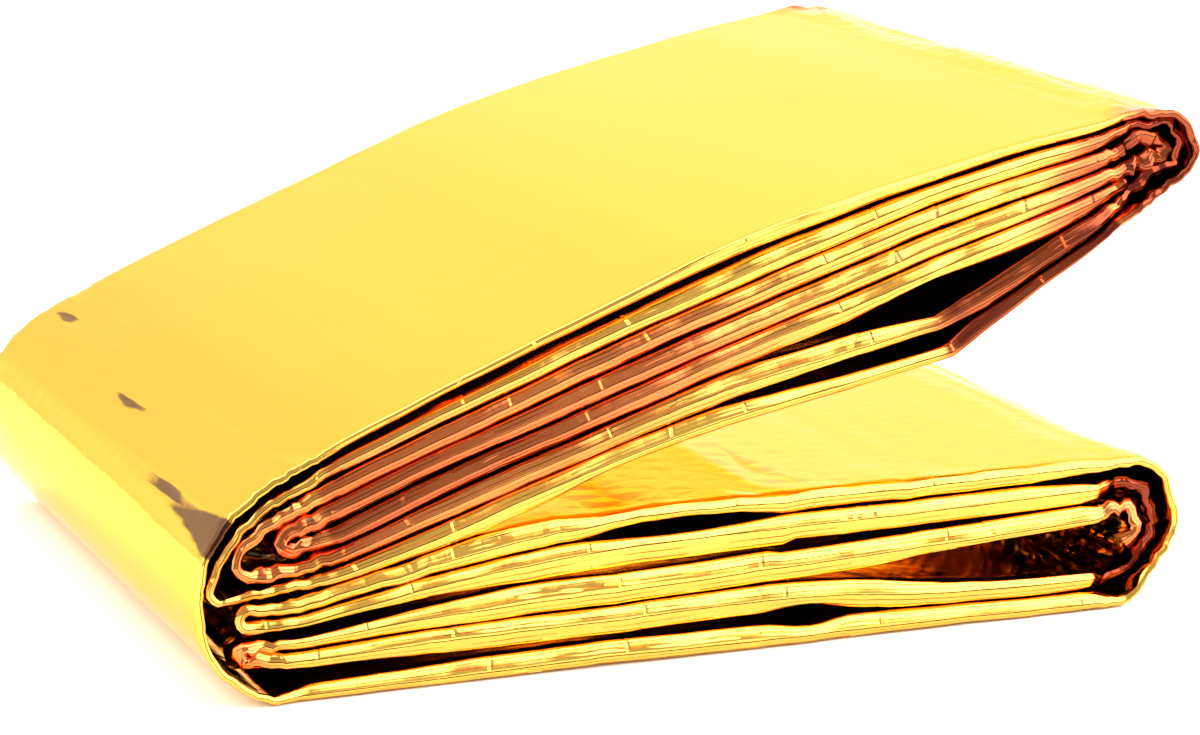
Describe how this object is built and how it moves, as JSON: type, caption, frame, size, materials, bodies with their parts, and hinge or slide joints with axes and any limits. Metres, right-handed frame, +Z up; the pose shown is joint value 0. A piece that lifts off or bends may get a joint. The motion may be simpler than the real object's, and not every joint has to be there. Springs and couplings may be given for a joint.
{
  "type": "folded emergency foil blanket",
  "caption": "Gold metallised film rescue blanket folded to a pocket packet, its last fold sprung open so that one leg rises over the other.",
  "frame": {"origin": "middle of the flat underside that the packet rests on, below the centre of its box", "axes": "+X along the legs towards their open ends, away from the round spine; +Y along the spine; +Z up"},
  "size_m": [0.1314, 0.106, 0.064],
  "materials": {
    "gold_film": "gold coloured metal coat on thin polyester film, mirror bright"
  },
  "bodies": {
    "root": {"foil_blanket": "gold_film"}
  },
  "joints": []
}
